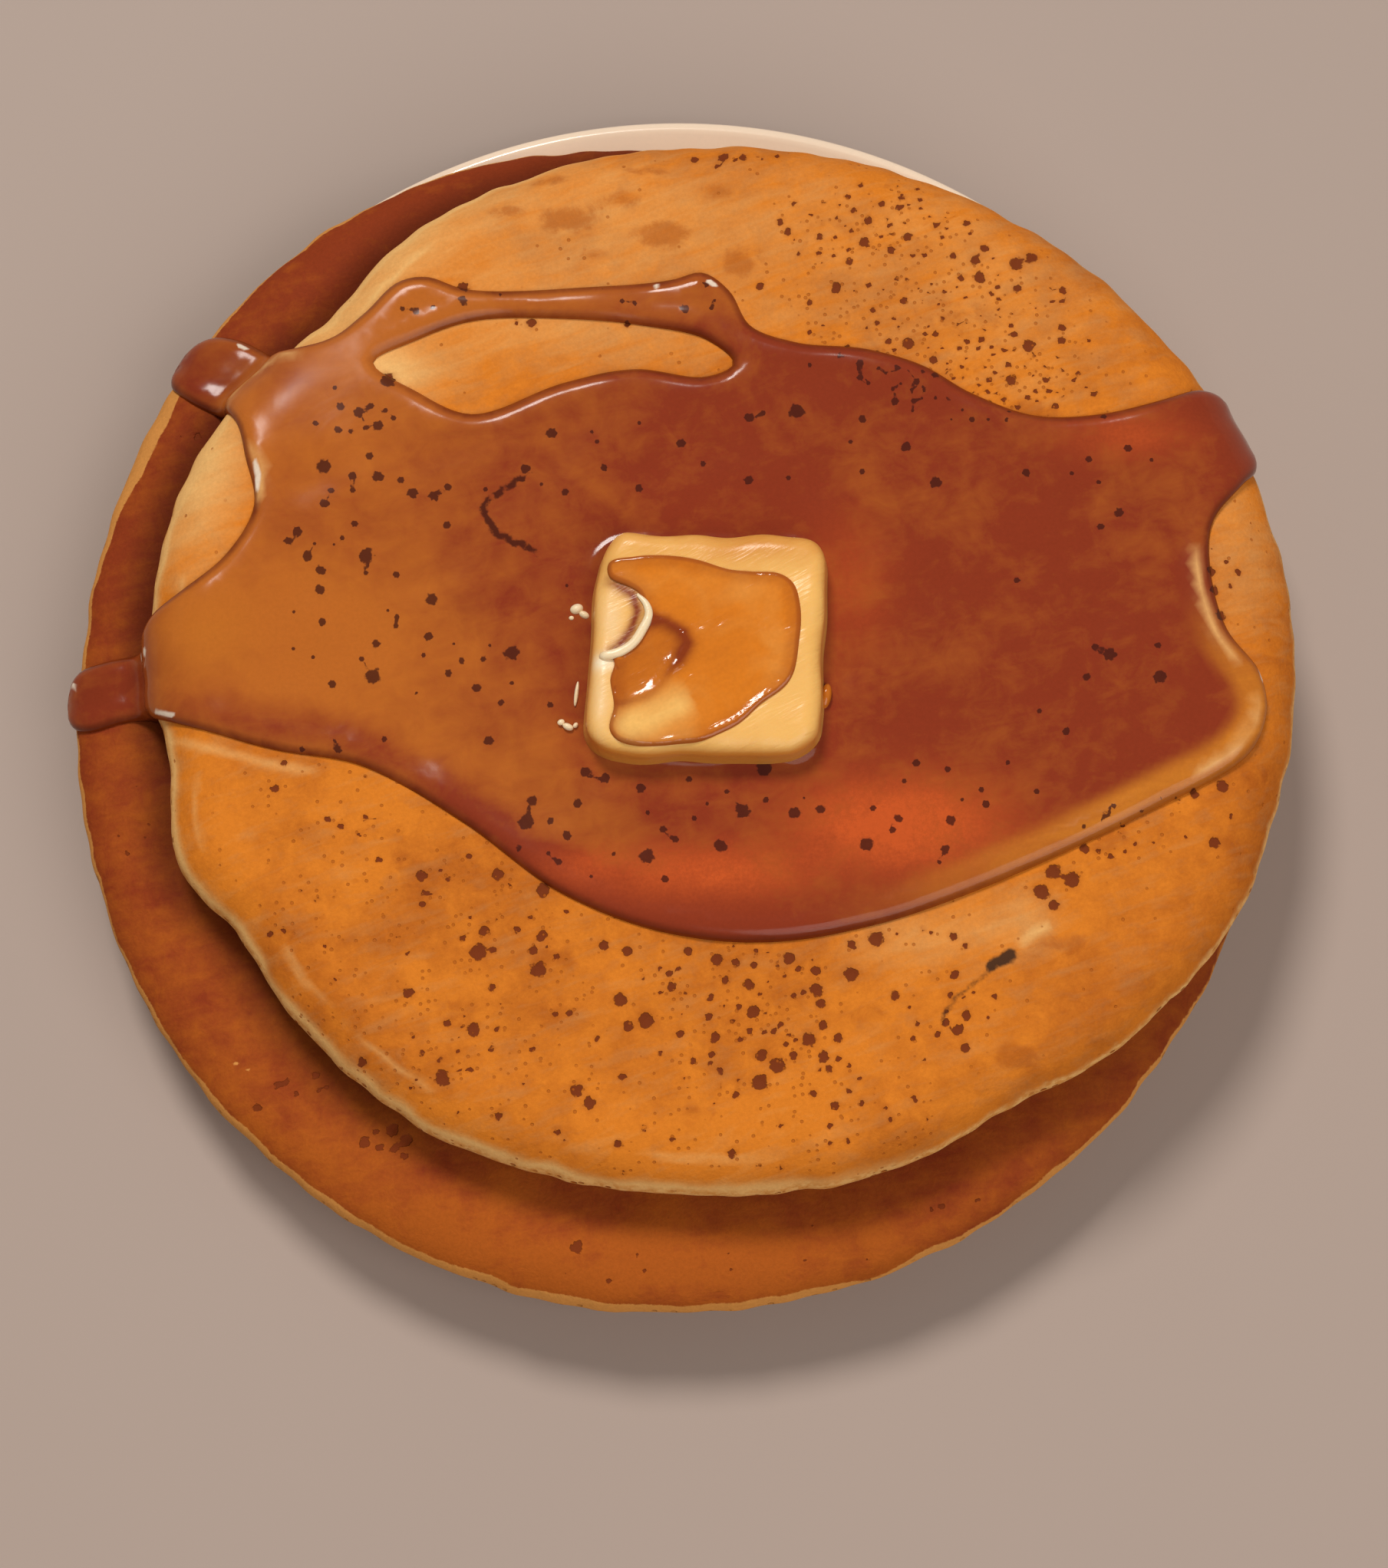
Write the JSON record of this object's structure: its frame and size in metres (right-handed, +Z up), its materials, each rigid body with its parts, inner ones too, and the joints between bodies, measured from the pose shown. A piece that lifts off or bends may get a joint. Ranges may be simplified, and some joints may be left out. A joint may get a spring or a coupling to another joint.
{
  "type": "pancake stack with butter and syrup",
  "caption": "Stack of two round golden pancakes on a small pale plate, with a square pat of melting butter and a pool of syrup that runs over the edge.",
  "frame": {"origin": "centre of the stack's bounding box in plan, at the height of the plate's foot", "axes": "+Z up, -Y towards the front of the stack, +X to its right; the syrup runs over the left edge"},
  "size_m": [0.164, 0.165, 0.0357],
  "materials": {
    "plate_glaze": "cream glaze, plain",
    "pancake_dark": "dark browned pancake crust, soft and porous",
    "pancake_golden": "golden pancake crust with small brown pores, soft and porous",
    "butter": "softened butter, satin",
    "syrup": "clear red-brown syrup, high gloss",
    "melted_film": "melted butter and syrup, high gloss"
  },
  "bodies": {
    "root": {"plate": "plate_glaze", "pancake_lower": "pancake_dark", "pancake_upper": "pancake_golden", "butter_pat": "butter", "syrup": "syrup", "syrup_on_butter": "melted_film"}
  },
  "joints": []
}
